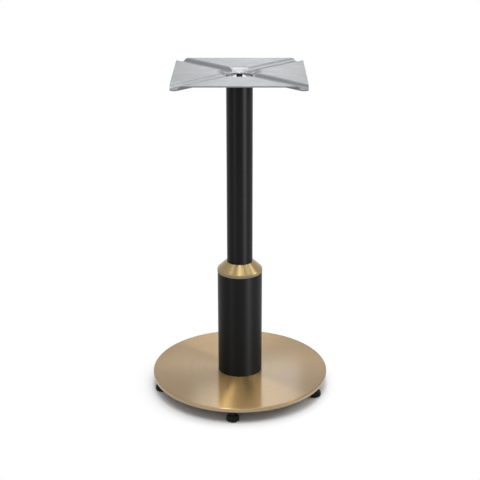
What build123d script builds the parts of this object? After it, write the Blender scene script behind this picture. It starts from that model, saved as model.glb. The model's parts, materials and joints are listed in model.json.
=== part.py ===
from build123d import *
from math import cos, radians, sin, tan
import os

# Free-standing table base: a round disc on five glides, a wide lower sleeve, a conical collar,
# a slim column and a pressed square mounting plate, all clamped by one tie rod.
# Millimetres, +Z up. The origin is on the floor, on the column's axis. The front is towards -Y.

# Base disc
disc_diameter = 400.0
disc_thickness = 10.0
disc_edge_round = 2.0

# Glides: a moulded foot on a screwed stud
foot_count = 5
foot_height = 26.5
foot_diameter = 28.6
foot_inset = 15.5  # from the disc's rim to the foot's axis
foot_front_angle = -4.7  # of the foremost foot, in degrees from -Y towards +X
foot_flat_diameter = 17.0
foot_widest_height = 5.5
foot_dome_height = 15.0
foot_dome_top_diameter = 21.0
foot_groove_height = 1.5
foot_groove_diameter = 17.0
foot_boss_diameter = 19.0
stud_in_foot = 13.0
stud_in_disc = 8.0
stud_hole_extra = 0.5  # depth of the tapped hole past the stud's end

# Column and the sleeve round its lower part
column_diameter = 57.0
column_wall = 2.0
column_length = 680.0
sleeve_diameter = 100.0
sleeve_wall = 1.5
sleeve_length = 242.0

# Collar, a spun shell that stands on the sleeve
collar_overhang = 0.5
collar_wall = 1.0
collar_height = 25.0
collar_lip_height = 6.5
collar_shoulder_round = 5.0
collar_land = 2.1
collar_edge_round = 0.8

# Plugs and rings that centre the tubes
plug_height = 12.0
plug_chamfer = 1.0
ring_height = 10.0
ring_flange = 2.0
slip_gap = 0.1
loose_gap = 0.3

# Mounting plate, pressed from one sheet
plate_side = 280.0
plate_corner_round = 10.0
sheet = 2.5
channel_depth = 7.5
channel_floor_width = 18.0
channel_wall_angle = 60.0
channel_shoulder_round = 6.0
channel_root_round = 3.0
dish_depth = 9.0
dish_wall_angle = 38.0
dish_shoulder_round = 35.0
dish_root_round = 5.0
cup_radius = 28.8
cup_depth = 4.0
cup_lip_round = 1.2
cup_floor_round = 1.5
screw_hole_diameter = 7.0
screw_hole_spacing = 230.0

# Tie rod with its nuts and washers
thread_diameter = 8.0
thread_gap = 0.05
rod_hole_diameter = 9.0
nut_across_flats = 13.0
nut_height = 6.5
nut_chamfer_angle = 30.0
top_washer_diameter = 30.0
top_washer_thickness = 2.0
bottom_washer_diameter = 40.0
bottom_washer_thickness = 3.0
rod_past_top_nut = 1.5
rod_past_bottom_nut = 4.0

# Heights that follow from the sizes above
disc_bottom = foot_height
disc_top = disc_bottom + disc_thickness
sleeve_top = disc_top + sleeve_length
column_top = disc_top + column_length
cup_floor = column_top + sheet
plate_top = cup_floor + cup_depth + dish_depth
top_nut_bottom = cup_floor + top_washer_thickness
bottom_nut_top = disc_bottom - bottom_washer_thickness

# Radii that follow from the sizes above
disc_radius = disc_diameter / 2
foot_circle_radius = disc_radius - foot_inset
column_radius = column_diameter / 2
column_bore = column_radius - column_wall
sleeve_radius = sleeve_diameter / 2
sleeve_bore = sleeve_radius - sleeve_wall
thread_radius = thread_diameter / 2
rod_hole = rod_hole_diameter / 2

# Cutters for the holes in the pressed sheet reach this far above and below its face
hole_cutter_reach = 2 * sheet


def revolve_outline(outline):
    """Solid of revolution about Z from an outline of (radius, height) edges."""
    return revolve(make_face(outline), Axis.Z)


def polygon_outline(points):
    """Closed outline through (radius, height) points on the XZ plane."""
    return Plane.XZ * Polyline(*points, close=True)


def tube(outer_radius, inner_radius, bottom, height):
    """Round tube or ring with its lower end at the given height."""
    ring = Circle(outer_radius) - Circle(inner_radius)
    return extrude(Pos(0, 0, bottom) * ring, height)


def bar(radius, bottom, height):
    """Round bar about Z with its lower end at the given height."""
    return extrude(Pos(0, 0, bottom) * Circle(radius), height)


def make_base_disc():
    disc = bar(disc_radius, disc_bottom, disc_thickness)
    disc = fillet(disc.edges().filter_by(GeomType.CIRCLE), disc_edge_round)
    disc -= bar(rod_hole, disc_bottom, disc_thickness)
    stud_hole = bar(thread_radius + thread_gap, disc_bottom, stud_in_disc + stud_hole_extra)
    for place in foot_places():
        disc -= place * stud_hole
    return disc


def foot_places():
    """One location for each foot, evenly spaced round the disc."""
    step = 360.0 / foot_count
    return [
        Rot(0, 0, -90 + foot_front_angle + step * i) * Pos(foot_circle_radius, 0, 0)
        for i in range(foot_count)
    ]


def make_foot():
    """Moulded glide: a low dome, a groove and a boss that meets the disc."""
    flat = foot_flat_diameter / 2
    widest = foot_diameter / 2
    dome_top = foot_dome_top_diameter / 2
    groove = foot_groove_diameter / 2
    boss = foot_boss_diameter / 2
    groove_top = foot_dome_height + foot_groove_height
    outline = [
        Line((0, 0), (flat, 0)),
        Spline((flat, 0), (widest, foot_widest_height), tangents=((1, 0.1), (0, 1))),
        Spline(
            (widest, foot_widest_height),
            (dome_top, foot_dome_height),
            tangents=((0, 1), (-1, 1)),
        ),
        Polyline(
            (dome_top, foot_dome_height),
            (groove, foot_dome_height),
            (groove, groove_top),
            (boss, groove_top),
            (boss, foot_height),
            (0, foot_height),
            (0, 0),
        ),
    ]
    body = revolve_outline(Plane.XZ * Curve(outline))
    return body - bar(thread_radius, foot_height - stud_in_foot, stud_in_foot)


def make_foot_stud():
    return bar(thread_radius, foot_height - stud_in_foot, stud_in_foot + stud_in_disc)


def make_plug(end_height, towards):
    """Turned plug in the column's end, flush with it; towards is +1 up or -1 down the tube."""
    radius = column_bore - slip_gap
    bottom = end_height if towards > 0 else end_height - plug_height
    plug = tube(radius, rod_hole, bottom, plug_height)
    inner_face = plug.faces().sort_by(Axis.Z)[-1 if towards > 0 else 0]
    rim = inner_face.edges().sort_by(SortBy.RADIUS)[-1]
    return chamfer(rim, plug_chamfer)


def make_sleeve_foot_ring():
    return tube(sleeve_bore - loose_gap, column_radius + slip_gap, disc_top, ring_height)


def make_sleeve_head_ring():
    """Stepped ring: its spigot is inside the sleeve, its flange on the sleeve's rim."""
    bore = column_radius + slip_gap
    flange_radius = sleeve_radius + collar_overhang - collar_wall - slip_gap
    spigot = tube(sleeve_bore - loose_gap, bore, sleeve_top - ring_height, ring_height)
    return spigot + tube(flange_radius, bore, sleeve_top, ring_flange)


def make_collar():
    """Spun shell: a straight lip, a rounded shoulder, a cone and a narrow flat land."""
    lip = sleeve_radius + collar_overhang
    hole = column_radius + loose_gap
    land = hole + collar_land
    top = sleeve_top + collar_height
    shoulder = sleeve_top + collar_lip_height
    outside = [(0, sleeve_top), (lip, sleeve_top), (lip, shoulder), (land, top), (0, top)]
    solid = revolve_outline(polygon_outline(outside))
    rims = solid.edges().filter_by(GeomType.CIRCLE).sort_by(Axis.Z)
    solid = fillet(rims[1], collar_shoulder_round)
    solid = fillet(solid.edges().filter_by(GeomType.CIRCLE).sort_by(Axis.Z)[-1], collar_edge_round)
    openings = [solid.faces().sort_by(Axis.Z)[0]]
    shell = offset(solid, -collar_wall, openings=openings)
    return shell - bar(hole, sleeve_top, collar_height)


def pressed_wall(start, shoulder_radius, root_radius, wall_angle, straight):
    """Edges of a pressed wall that leaves a flat at start, towards -X, and ends flat again."""
    turn = radians(wall_angle)
    shoulder = JernArc(start, (-1, 0), shoulder_radius, wall_angle)
    foot = shoulder @ 1 + Vector(-cos(turn), -sin(turn)) * straight
    wall = Line(shoulder @ 1, foot)
    root = JernArc(foot, (-cos(turn), -sin(turn)), root_radius, -wall_angle)
    return [shoulder, wall, root]


def straight_of_wall(depth, both_rounds, wall_angle):
    """Length of the straight part between the two rounds of a pressed wall."""
    turn = radians(wall_angle)
    return (depth - both_rounds * (1 - cos(turn))) / sin(turn)


def run_of_wall(depth, both_rounds, wall_angle):
    """How far a pressed wall reaches sideways, rounds included."""
    turn = radians(wall_angle)
    return both_rounds * sin(turn) + straight_of_wall(depth, both_rounds, wall_angle) * cos(turn)


def channel_tool(inset):
    """Bar along X with the channel's section: inset 0 is the upper face, sheet the underside."""
    both_rounds = channel_shoulder_round + channel_root_round
    half_top = channel_floor_width / 2 + run_of_wall(channel_depth, both_rounds, channel_wall_angle)
    ceiling = sheet - inset
    wall = pressed_wall(
        (half_top, -inset),
        channel_shoulder_round - inset,
        channel_root_round + inset,
        channel_wall_angle,
        straight_of_wall(channel_depth, both_rounds, channel_wall_angle),
    )
    floor_y = -inset - channel_depth
    outline = Curve(
        [
            *wall,
            Line(wall[-1] @ 1, (0, floor_y)),
            Polyline((0, floor_y), (0, ceiling), (half_top, ceiling), (half_top, -inset)),
        ]
    )
    half = make_face(outline)
    section = half + mirror(half, Plane.YZ)
    # Each end reaches past the plate's corner, which is less than plate_side from its centre.
    return extrude(Plane.YZ * section, plate_side, both=True)


def dish_tool(inset):
    """Round tool of the dish: inset 0 is the upper face, sheet the underside."""
    both_rounds = dish_shoulder_round + dish_root_round
    root_radius = cup_radius + cup_lip_round
    top_radius = root_radius + run_of_wall(dish_depth, both_rounds, dish_wall_angle)
    ceiling = sheet - inset
    wall = pressed_wall(
        (top_radius, -inset),
        dish_shoulder_round - inset,
        dish_root_round + inset,
        dish_wall_angle,
        straight_of_wall(dish_depth, both_rounds, dish_wall_angle),
    )
    floor_y = -inset - dish_depth
    rest = Polyline(
        wall[-1] @ 1, (0, floor_y), (0, ceiling), (top_radius, ceiling), (top_radius, -inset)
    )
    return revolve_outline(Plane.XZ * Curve([*wall, rest]))


def cup_tool(inset):
    """Round tool of the cup in the dish: inset 0 is the upper face, sheet the underside."""
    radius = cup_radius + inset
    floor_y = -dish_depth - cup_depth - inset
    corner = cup_floor_round + inset
    if inset:
        outline = [
            Line((0, floor_y), (radius - corner, floor_y)),
            JernArc((radius - corner, floor_y), (1, 0), corner, 90),
            Polyline((radius, floor_y + corner), (radius, -dish_depth), (0, -dish_depth), (0, floor_y)),
        ]
    else:
        lip_bottom = -dish_depth - cup_lip_round
        outline = [
            Line((0, floor_y), (radius - corner, floor_y)),
            JernArc((radius - corner, floor_y), (1, 0), corner, 90),
            Line((radius, floor_y + corner), (radius, lip_bottom)),
            JernArc((radius, lip_bottom), (0, 1), cup_lip_round, -90),
            Polyline((radius + cup_lip_round, -dish_depth), (0, -dish_depth), (0, floor_y)),
        ]
    return revolve_outline(Plane.XZ * Curve(outline))


def press_tools(inset):
    """All the tools pressed into the plate, for its upper face or its underside."""
    channel = channel_tool(inset)
    channels = [Rot(0, 0, angle) * channel for angle in (45, -45)]
    return [*channels, dish_tool(inset), cup_tool(inset)]


def make_top_plate():
    """Pressed sheet: an X of channels, a dish and its cup, cut from a rounded square."""
    outline = RectangleRounded(plate_side, plate_side, plate_corner_round)
    body = extrude(outline, -sheet) + press_tools(sheet)
    body -= press_tools(0)
    body &= extrude(outline, dish_depth + cup_depth + 2 * sheet, both=True)
    screw_hole = Cylinder(screw_hole_diameter / 2, 2 * hole_cutter_reach)
    for place in GridLocations(screw_hole_spacing, screw_hole_spacing, 2, 2):
        body -= place * Pos(0, 0, -channel_depth) * screw_hole
    body -= Pos(0, 0, -dish_depth - cup_depth) * Cylinder(rod_hole, 2 * hole_cutter_reach)
    return Pos(0, 0, plate_top) * body


def make_washer(diameter, thickness, bottom):
    return tube(diameter / 2, rod_hole, bottom, thickness)


def make_nut(bottom):
    """Hexagon nut with its corners chamfered at both faces."""
    flat_radius = nut_across_flats / 2
    corner_radius = flat_radius / cos(radians(30))
    drop = (corner_radius - flat_radius) * tan(radians(nut_chamfer_angle))
    turned = revolve_outline(
        polygon_outline(
            [
                (0, 0),
                (flat_radius, 0),
                (corner_radius, drop),
                (corner_radius, nut_height - drop),
                (flat_radius, nut_height),
                (0, nut_height),
            ]
        )
    )
    prism = extrude(RegularPolygon(corner_radius, 6, rotation=30), nut_height)
    bore = bar(thread_radius + thread_gap, 0, nut_height)
    return Pos(0, 0, bottom) * ((prism & turned) - bore)


def make_tie_rod():
    bottom = bottom_nut_top - nut_height - rod_past_bottom_nut
    top = top_nut_bottom + nut_height + rod_past_top_nut
    return bar(thread_radius, bottom, top - bottom)


def make_parts():
    parts = {
        "base_disc": make_base_disc(),
        "column": tube(column_radius, column_bore, disc_top, column_length),
        "lower_sleeve": tube(sleeve_radius, sleeve_bore, disc_top, sleeve_length),
        "collar": make_collar(),
        "column_foot_plug": make_plug(disc_top, 1),
        "column_head_plug": make_plug(column_top, -1),
        "sleeve_foot_ring": make_sleeve_foot_ring(),
        "sleeve_head_ring": make_sleeve_head_ring(),
        "top_plate": make_top_plate(),
        "top_washer": make_washer(top_washer_diameter, top_washer_thickness, cup_floor),
        "top_nut": make_nut(top_nut_bottom),
        "bottom_washer": make_washer(
            bottom_washer_diameter, bottom_washer_thickness, bottom_nut_top
        ),
        "bottom_nut": make_nut(bottom_nut_top - nut_height),
        "tie_rod": make_tie_rod(),
    }
    foot = make_foot()
    stud = make_foot_stud()
    for number, place in enumerate(foot_places(), start=1):
        parts[f"foot_{number}"] = place * foot
        parts[f"foot_stud_{number}"] = place * stud
    return parts


os.makedirs("parts", exist_ok=True)
for name, part in make_parts().items():
    export_step(part, f"parts/{name}.step")
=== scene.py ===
import json
from math import cos, pi, radians, sin

import bmesh
import bpy
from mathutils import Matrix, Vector


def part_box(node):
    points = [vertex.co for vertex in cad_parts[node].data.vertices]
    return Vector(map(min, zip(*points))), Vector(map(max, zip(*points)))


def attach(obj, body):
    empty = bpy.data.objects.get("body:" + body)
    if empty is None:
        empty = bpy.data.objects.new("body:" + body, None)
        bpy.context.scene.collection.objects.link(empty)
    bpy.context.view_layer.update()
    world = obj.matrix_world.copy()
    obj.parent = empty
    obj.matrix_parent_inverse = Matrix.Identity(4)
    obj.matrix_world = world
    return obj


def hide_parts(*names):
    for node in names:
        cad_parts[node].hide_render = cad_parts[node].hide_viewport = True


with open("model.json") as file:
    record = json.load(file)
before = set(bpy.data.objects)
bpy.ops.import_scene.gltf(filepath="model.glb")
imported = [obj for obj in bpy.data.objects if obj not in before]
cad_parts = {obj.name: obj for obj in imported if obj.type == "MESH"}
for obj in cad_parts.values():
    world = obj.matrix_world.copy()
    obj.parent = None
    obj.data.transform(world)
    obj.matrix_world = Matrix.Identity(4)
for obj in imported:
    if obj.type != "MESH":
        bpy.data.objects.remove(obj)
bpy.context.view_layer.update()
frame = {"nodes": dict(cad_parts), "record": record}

# Lengths are in metres and angles in degrees, unless a name says otherwise

# Camera, fitted to the edges of the disc, the tubes and the plate in the photograph
IMAGE_SIDE_PX = 480
CAMERA_PLACE = (0.01367, -2.39589, 1.2535)
CAMERA_PITCH = 20.63  # below the horizon
CAMERA_FOCAL_PX = 1149.27
CAMERA_AXIS_PX = 5.91  # how far right of the picture's centre the lens axis lies
SENSOR_WIDTH_MM = 36.0

# Floor; the three limits are distances from the part's axis
FLOOR_SIDE = 60.0
FLOOR_COLOUR = (0.79, 0.795, 0.805)
FLOOR_SHADE = 0.185  # the floor shows only the light that falls on it up to here
FLOOR_NEAR = 0.25  # it is nearly white from here on
FLOOR_FAR = 0.4  # and plain white from here on
NEARLY_WHITE = 0.88

# Light
AMBIENT = 0.6  # strength of the world as light on the object
LIGHT_TARGET = (0.0, 0.0, 0.35)
LAMP_SIZE = (0.8, 0.8)
LAMP_DISTANCE = 2.6  # from the light target
STRIP_DISTANCE = 2.1
WINDOW_DISTANCE = 2.9
TUBES = ("column", "lower_sleeve")

# Thread of the tie rod
THREAD_PITCH = 0.00125
THREAD_DEPTH = 0.00068
THREAD_STEPS = 16  # corners per turn
THREAD_CREST = (0.42, 0.58)  # where the crest starts and ends, as shares of the pitch
WELD_DISTANCE = 1e-7

# Materials
WHOLE = (0.0, 1.0)
NOISE_BULK = (0.3, 0.7)  # most of a noise's values lie in here
ACROSS_LINES = 0.25  # the tangent follows the lines, and this draws a highlight out across them
SPANGLE_SHARE = 0.35  # of the tone of the galvanised sheet, the rest comes from the smears
SCUFF_HEIGHT = 0.004  # of the scuffed part of a foot above the floor


def colour(red, green, blue):
    return (red, green, blue, 1.0)


class Nodes:
    """Short names for building the node tree of a material or of the world."""

    def __init__(self, owner):
        owner.use_nodes = True
        self.tree = owner.node_tree
        self.tree.nodes.clear()

    def add(self, kind, **settings):
        node = self.tree.nodes.new("ShaderNode" + kind)
        for key, value in settings.items():
            setattr(node, key, value)
        return node

    def link(self, output, socket):
        self.tree.links.new(output, socket)

    def set(self, socket, value):
        """Link another socket to this one, or write a number or a colour into it."""
        if isinstance(value, bpy.types.NodeSocket):
            self.link(value, socket)
        else:
            socket.default_value = value

    def math(self, operation, first, second=0.0):
        node = self.add("Math", operation=operation)
        self.set(node.inputs[0], first)
        self.set(node.inputs[1], second)
        return node.outputs[0]

    def spread(self, value, source, target, smooth=False):
        """Carry a value from the source range over to the target range and hold it at its ends."""
        node = self.add("MapRange", interpolation_type="SMOOTHSTEP" if smooth else "LINEAR")
        for socket, number in zip(node.inputs, (value, *source, *target)):
            self.set(socket, number)
        return node.outputs["Result"]

    def mix_colour(self, factor, first, second):
        """Mix two colours; the node's colour sockets share their names, so they go by number."""
        node = self.add("Mix", data_type="RGBA")
        self.set(node.inputs[0], factor)
        self.set(node.inputs[6], first)
        self.set(node.inputs[7], second)
        return node.outputs[2]

    def place(self):
        """Place on the surface in metres, in the part's own frame."""
        return self.add("TexCoord").outputs["Object"]

    def scaled(self, vector, scale):
        node = self.add("Mapping")
        self.link(vector, node.inputs["Vector"])
        node.inputs["Scale"].default_value = scale
        return node.outputs["Vector"]

    def split(self, vector):
        node = self.add("SeparateXYZ")
        self.link(vector, node.inputs[0])
        return node.outputs

    def combine(self, x, y, z=0.0):
        node = self.add("CombineXYZ")
        for socket, value in zip(node.inputs, (x, y, z)):
            self.set(socket, value)
        return node.outputs[0]

    def length(self, vector):
        node = self.add("VectorMath", operation="LENGTH")
        self.link(vector, node.inputs[0])
        return node.outputs["Value"]

    def noise(self, vector, scale=1.0, detail=2.0, roughness=0.5):
        node = self.add("TexNoise")
        self.link(vector, node.inputs["Vector"])
        node.inputs["Scale"].default_value = scale
        node.inputs["Detail"].default_value = detail
        node.inputs["Roughness"].default_value = roughness
        return node.outputs["Fac"]

    def bump(self, height, strength, distance):
        node = self.add("Bump")
        self.link(height, node.inputs["Height"])
        node.inputs["Strength"].default_value = strength
        node.inputs["Distance"].default_value = distance
        return node.outputs["Normal"]

    def seen(self):
        """1 to the camera, in reflections and through glass, and 0 as light on the object."""
        rays = self.add("LightPath").outputs
        seen = self.math("MAXIMUM", rays["Is Camera Ray"], rays["Is Glossy Ray"])
        return self.math("MAXIMUM", seen, rays["Is Transmission Ray"])

    def shader(self, **values):
        """Principled shader on the surface; each value is a number, a colour or a socket."""
        node = self.add("BsdfPrincipled")
        for key, value in values.items():
            socket = node.inputs[key.replace("_", " ").title().replace("Ior", "IOR")]
            self.set(socket, value)
        self.link(node.outputs[0], self.add("OutputMaterial").inputs["Surface"])


def round_axis(n):
    """Tangent round the part's axis."""
    return n.add("Tangent", direction_type="RADIAL", axis="Z").outputs[0]


def ring_place(n, along, across):
    """Texture place that changes by these scales along the lines round the axis and across them."""
    place = n.split(n.place())
    radius = n.length(n.combine(place["X"], place["Y"]))
    down_profile = n.math("SUBTRACT", radius, place["Z"])
    return n.combine(
        n.math("MULTIPLY", place["X"], along),
        n.math("MULTIPLY", place["Y"], along),
        n.math("MULTIPLY", down_profile, across),
    )


def upright(n, steep, flat):
    """1 on upright faces and 0 on level ones; the limits are sizes of the normal's upward part."""
    normal = n.split(n.add("NewGeometry").outputs["Normal"])
    return n.spread(n.math("ABSOLUTE", normal["Z"]), (steep, flat), (1.0, 0.0))


def brushed_brass(n):
    """Fine lines brushed round the axis under a thin clear coat, and a duller rim whose paler
    colour is a painted highlight.
    """
    lines = n.noise(ring_place(n, along=6.0, across=420.0), detail=3.0, roughness=0.6)
    cloud = n.noise(n.place(), scale=7.0)
    rim = upright(n, steep=0.4, flat=0.8)
    dark, light = colour(0.26, 0.17, 0.07), colour(0.298, 0.194, 0.08)
    # The second colour, on the rim, is a painted highlight: paler than the brass for the light its
    # upright faces catch
    cloudy, painted_rim_highlight = colour(0.277, 0.18, 0.075), colour(0.48, 0.375, 0.235)
    base = n.mix_colour(n.spread(lines, NOISE_BULK, WHOLE), dark, light)
    cloud_share = n.spread(cloud, (0.35, 0.65), (0.0, 0.35))
    base = n.mix_colour(cloud_share, base, cloudy)
    n.shader(
        base_color=n.mix_colour(rim, base, painted_rim_highlight),
        metallic=1.0,
        roughness=n.spread(rim, WHOLE, (0.36, 0.9)),
        anisotropic=1.0,
        anisotropic_rotation=ACROSS_LINES,
        coat_weight=0.6,
        coat_roughness=0.12,
        coat_ior=1.5,
        tangent=round_axis(n),
    )


def turned_brass(n):
    """Fine lines round the axis, as a lathe leaves on a spun shell, and a duller lip whose paler
    colour is a painted highlight.
    """
    lines = n.noise(ring_place(n, along=3.0, across=450.0), detail=3.0, roughness=0.6)
    lip = upright(n, steep=0.2, flat=0.5)
    dark, light = colour(0.25, 0.182, 0.085), colour(0.325, 0.238, 0.111)
    # The lip's colour is a painted highlight: paler than the brass for the light its upright face
    # catches
    painted_lip_highlight = colour(0.36, 0.285, 0.175)
    base = n.mix_colour(n.spread(lines, NOISE_BULK, WHOLE), dark, light)
    n.shader(
        base_color=n.mix_colour(lip, base, painted_lip_highlight),
        metallic=1.0,
        roughness=n.spread(lip, WHOLE, (0.31, 0.7)),
        anisotropic=0.85,
        anisotropic_rotation=ACROSS_LINES,
        coat_weight=0.2,
        coat_roughness=0.5,
        coat_ior=1.5,
        tangent=round_axis(n),
    )


def satin_black(n):
    """Satin powder coat with a fine grain, its highlights drawn out along the tube."""
    place = n.place()
    grain = n.noise(place, scale=900.0)
    cloud = n.noise(place, scale=12.0)
    dark, light = colour(0.002, 0.002, 0.0022), colour(0.0034, 0.0034, 0.0036)
    n.shader(
        base_color=n.mix_colour(cloud, dark, light),
        roughness=n.spread(grain, NOISE_BULK, (0.43, 0.49)),
        specular_ior_level=0.11,
        anisotropic=0.7,
        anisotropic_rotation=ACROSS_LINES,
        tangent=round_axis(n),
        normal=n.bump(grain, strength=0.12, distance=0.00006),
    )


def galvanised(n):
    """Zinc-coated sheet: faint spangles, soft smears and a fine grain."""
    place = n.place()
    spangle = n.add("TexVoronoi", feature="F1")
    n.link(place, spangle.inputs["Vector"])
    spangle.inputs["Scale"].default_value = 55.0
    cell = n.add("SeparateColor")
    n.link(spangle.outputs["Color"], cell.inputs[0])
    smear = n.noise(n.scaled(place, (16.0, 26.0, 20.0)), detail=3.0, roughness=0.55)
    grain = n.noise(place, scale=420.0)
    tone = n.math(
        "ADD",
        n.math("MULTIPLY", cell.outputs[0], SPANGLE_SHARE),
        n.math("MULTIPLY", smear, 1.0 - SPANGLE_SHARE),
    )
    tone_bulk = (0.25, 0.75)
    dark, light = colour(0.198, 0.206, 0.214), colour(0.216, 0.225, 0.234)
    n.shader(
        base_color=n.mix_colour(n.spread(tone, tone_bulk, WHOLE), dark, light),
        metallic=1.0,
        roughness=n.spread(tone, tone_bulk, (0.4, 0.36)),
        normal=n.bump(grain, strength=0.15, distance=0.00005),
    )


def zinc_plated(n):
    """Bright zinc on washers, nuts and the rod."""
    grain = n.noise(n.place(), scale=350.0, detail=3.0)
    dark, light = colour(0.42, 0.426, 0.438), colour(0.54, 0.548, 0.563)
    n.shader(
        base_color=n.mix_colour(grain, dark, light),
        metallic=1.0,
        roughness=n.spread(grain, NOISE_BULK, (0.26, 0.38)),
        normal=n.bump(grain, strength=0.1, distance=0.00004),
    )


def black_oxide(n):
    """Blackened steel of the top nut."""
    grain = n.noise(n.place(), scale=600.0, detail=3.0)
    dark, light = colour(0.004, 0.004, 0.0042), colour(0.01, 0.01, 0.0103)
    n.shader(
        base_color=n.mix_colour(grain, dark, light),
        metallic=0.0,
        specular_ior_level=0.2,
        roughness=n.spread(grain, NOISE_BULK, (0.35, 0.45)),
        normal=n.bump(grain, strength=0.15, distance=0.00005),
    )


def foot_plastic(n):
    """Glossy moulded plastic, scuffed where it meets the floor."""
    place = n.place()
    scuff = n.noise(place, scale=500.0, detail=3.0)
    low = n.spread(n.split(place)["Z"], (0.0, SCUFF_HEIGHT), (1.0, 0.0), smooth=True)
    clean, scuffed = colour(0.007, 0.007, 0.0072), colour(0.03, 0.03, 0.03)
    dull = n.spread(low, WHOLE, (0.14, 0.4))
    uneven = n.math("MULTIPLY", scuff, 0.08)
    n.shader(
        base_color=n.mix_colour(n.math("MULTIPLY", low, scuff), clean, scuffed),
        roughness=n.math("ADD", dull, uneven),
        specular_ior_level=0.1,
        normal=n.bump(scuff, strength=0.05, distance=0.00004),
    )


def machined_steel(n):
    """Steel of the plugs inside the column, with lines from the lathe."""
    lines = n.noise(n.scaled(n.place(), (30.0, 30.0, 1500.0)), detail=3.0)
    dark, light = colour(0.36, 0.36, 0.37), colour(0.5, 0.5, 0.51)
    n.shader(
        base_color=n.mix_colour(lines, dark, light),
        metallic=1.0,
        roughness=n.spread(lines, NOISE_BULK, (0.3, 0.45)),
        normal=n.bump(lines, strength=0.15, distance=0.00004),
    )


def ring_plastic(n):
    """Matt plastic of the rings inside the sleeve."""
    grain = n.noise(n.place(), scale=700.0)
    dark, light = colour(0.03, 0.03, 0.03), colour(0.045, 0.045, 0.045)
    n.shader(
        base_color=n.mix_colour(grain, dark, light),
        roughness=n.spread(grain, NOISE_BULK, (0.5, 0.62)),
        normal=n.bump(grain, strength=0.15, distance=0.00006),
    )


def white_floor(n):
    """White floor that keeps the object's shadow and is plain white away from it."""
    distance = n.length(n.place())
    near = n.spread(distance, (FLOOR_SHADE, FLOOR_NEAR), (0.0, NEARLY_WHITE), smooth=True)
    far = n.spread(distance, (FLOOR_NEAR, FLOOR_FAR), (0.0, 1.0 - NEARLY_WHITE))
    away = n.math("MULTIPLY", n.math("ADD", near, far), n.seen())
    lit = n.add("BsdfDiffuse")
    lit.inputs["Color"].default_value = colour(*FLOOR_COLOUR)
    plain = n.add("Emission")
    mix = n.add("MixShader")
    for output, socket in zip((away, lit.outputs[0], plain.outputs[0]), mix.inputs):
        n.link(output, socket)
    n.link(mix.outputs[0], n.add("OutputMaterial").inputs["Surface"])


SLOT_PAINTERS = {
    "brushed_brass": brushed_brass,
    "turned_brass": turned_brass,
    "black_tube": satin_black,
    "galvanised_sheet": galvanised,
    "zinc_hardware": zinc_plated,
    "black_hardware": black_oxide,
    "foot_plastic": foot_plastic,
    "plain_steel": machined_steel,
    "ring_plastic": ring_plastic,
}


def make_material(name, painter):
    material = bpy.data.materials.new(name)
    painter(Nodes(material))
    return material


def dress_nodes():
    """Give every CAD node the material of its record slot; return the materials by slot."""
    for packed in list(bpy.data.materials):
        bpy.data.materials.remove(packed)
    materials = {slot: make_material(slot, painter) for slot, painter in SLOT_PAINTERS.items()}
    for part in frame["record"]["subparts"]:
        obj = frame["nodes"][part["node"]]
        obj.material_slots[0].material = materials[part["material_slot"]]
    return materials


def threaded_rod(name, bottom, top, radius, material):
    """Rod with a real helical thread between the two heights, cut off flat at both ends."""
    mesh = bmesh.new()
    crest_start, crest_end = THREAD_CREST
    profile = ((0.0, radius - THREAD_DEPTH), (crest_start, radius), (crest_end, radius))
    turns = (top - bottom) / THREAD_PITCH
    steps = round(turns * THREAD_STEPS)
    rows = []
    for i in range(steps + THREAD_STEPS + 1):
        angle = 2 * pi * i / THREAD_STEPS
        height = bottom + THREAD_PITCH * (i / THREAD_STEPS - 1)
        points = []
        for level, reach in profile:
            z = min(max(height + THREAD_PITCH * level, bottom), top)
            points.append(mesh.verts.new((reach * cos(angle), reach * sin(angle), z)))
        rows.append(points)
    for i in range(len(rows) - 1):
        for a in range(2):
            mesh.faces.new((rows[i][a], rows[i + 1][a], rows[i + 1][a + 1], rows[i][a + 1]))
        if i + THREAD_STEPS + 1 < len(rows):
            above, above_next = rows[i + THREAD_STEPS][0], rows[i + THREAD_STEPS + 1][0]
            mesh.faces.new((rows[i][2], rows[i + 1][2], above_next, above))
    bmesh.ops.remove_doubles(mesh, verts=mesh.verts, dist=WELD_DISTANCE)
    data = bpy.data.meshes.new(name)
    mesh.to_mesh(data)
    mesh.free()
    data.materials.append(material)
    obj = bpy.data.objects.new(name, data)
    bpy.context.scene.collection.objects.link(obj)
    return obj


def make_floor():
    bpy.ops.mesh.primitive_plane_add(size=FLOOR_SIDE)
    floor = bpy.context.object
    floor.name = "floor"
    floor.data.materials.append(make_material("floor", white_floor))


def make_world():
    """White to the camera and in reflections, and a softer grey as light on the object."""
    world = bpy.data.worlds.new("studio")
    bpy.context.scene.world = world
    n = Nodes(world)
    background = n.add("Background")
    background.inputs["Color"].default_value = colour(1.0, 1.0, 1.0)
    n.link(n.spread(n.seen(), WHOLE, (AMBIENT, 1.0)), background.inputs["Strength"])
    n.link(background.outputs[0], n.add("OutputWorld").inputs["Surface"])


def lamp(name, azimuth, elevation, power, size=LAMP_SIZE, distance=LAMP_DISTANCE, only_on=()):
    """Lamp of this width, height and power in watts, aimed at the light target.

    The azimuth is where it comes from, counted from -Y towards +X. Where only_on names nodes, its
    light is kept to them, as flags round a studio lamp do.
    """
    turn, rise = radians(azimuth), radians(elevation)
    source = Vector((cos(rise) * sin(turn), -cos(rise) * cos(turn), sin(rise)))
    data = bpy.data.lights.new(name, "AREA")
    data.shape = "RECTANGLE"
    data.size, data.size_y = size
    data.energy = power
    light = bpy.data.objects.new(name, data)
    bpy.context.scene.collection.objects.link(light)
    light.location = Vector(LIGHT_TARGET) + distance * source
    light.rotation_euler = (-source).to_track_quat("-Z", "Y").to_euler()
    if only_on:
        lit = bpy.data.collections.new(name + "_lights")
        for node in only_on:
            lit.objects.link(frame["nodes"][node])
        light.light_linking.receiver_collection = lit


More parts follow.
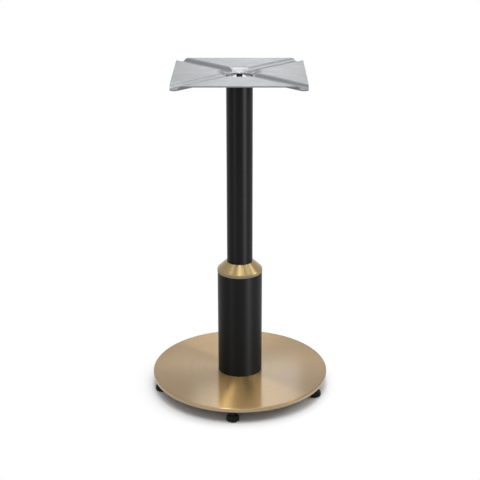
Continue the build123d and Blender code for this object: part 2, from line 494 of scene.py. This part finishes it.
def light_studio():
    make_world()

    # From above, before, behind and beside the part; the disc's rings draw them out into wedges
    lamp("overhead", azimuth=0.0, elevation=90.0, power=13.0)
    lamp("front_high", azimuth=0.0, elevation=75.0, power=14.0)
    lamp("front_mid", azimuth=0.0, elevation=62.0, power=4.0, size=(0.4, 0.4))
    lamp("front_right", azimuth=30.0, elevation=60.0, power=4.5, size=(0.5, 0.5))
    lamp("front_left", azimuth=330.0, elevation=60.0, power=2.0, size=(0.5, 0.5))
    lamp("key", azimuth=75.0, elevation=60.0, power=3.6)
    lamp("left_high", azimuth=285.0, elevation=60.0, power=4.0)
    lamp(
        "left_spot", azimuth=300.0, elevation=77.0, power=27.0, size=(0.16, 0.16),
        only_on=("base_disc",),
    )
    lamp("back_high", azimuth=180.0, elevation=60.0, power=13.0)
    lamp("back_right", azimuth=130.0, elevation=60.0, power=8.0)
    lamp("back_left", azimuth=230.0, elevation=60.0, power=3.0)
    lamp("side", azimuth=90.0, elevation=30.0, power=14.0)
    lamp("left_side", azimuth=270.0, elevation=25.0, power=0.6)

    # Level with the part, for the highlights along the tubes
    lamp(
        "right_strip", azimuth=46.0, elevation=4.0, power=62.0, size=(0.7, 0.8),
        distance=STRIP_DISTANCE, only_on=TUBES,
    )
    lamp(
        "left_strip", azimuth=318.0, elevation=4.0, power=12.0, size=(0.35, 0.8),
        distance=STRIP_DISTANCE, only_on=TUBES,
    )

    # Small and low behind the part, mirrored towards the camera by the plate and the disc
    lamp(
        "window", azimuth=177.5, elevation=24.0, power=1.0, size=(0.32, 0.32),
        distance=WINDOW_DISTANCE,
    )
    lamp(
        "window_mid", azimuth=182.8, elevation=25.5, power=0.42, size=(0.22, 0.22),
        distance=WINDOW_DISTANCE,
    )
    lamp("window_left", azimuth=184.2, elevation=18.0, power=0.16, size=(0.3, 0.3), distance=2.75)


def make_camera():
    data = bpy.data.cameras.new("camera")
    data.sensor_width = SENSOR_WIDTH_MM
    data.lens = CAMERA_FOCAL_PX / IMAGE_SIDE_PX * SENSOR_WIDTH_MM
    data.shift_x = -CAMERA_AXIS_PX / IMAGE_SIDE_PX
    camera = bpy.data.objects.new("camera", data)
    bpy.context.scene.collection.objects.link(camera)
    camera.location = CAMERA_PLACE
    camera.rotation_euler = (radians(90.0 - CAMERA_PITCH), 0.0, 0.0)
    bpy.context.scene.camera = camera


materials = dress_nodes()
rod_low, rod_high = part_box("tie_rod")
rod = threaded_rod("threaded_rod", rod_low.z, rod_high.z, rod_high.x, materials["zinc_hardware"])
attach(rod, "root")
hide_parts("tie_rod")
make_floor()
light_studio()
make_camera()
bpy.context.scene.view_settings.view_transform = "Standard"
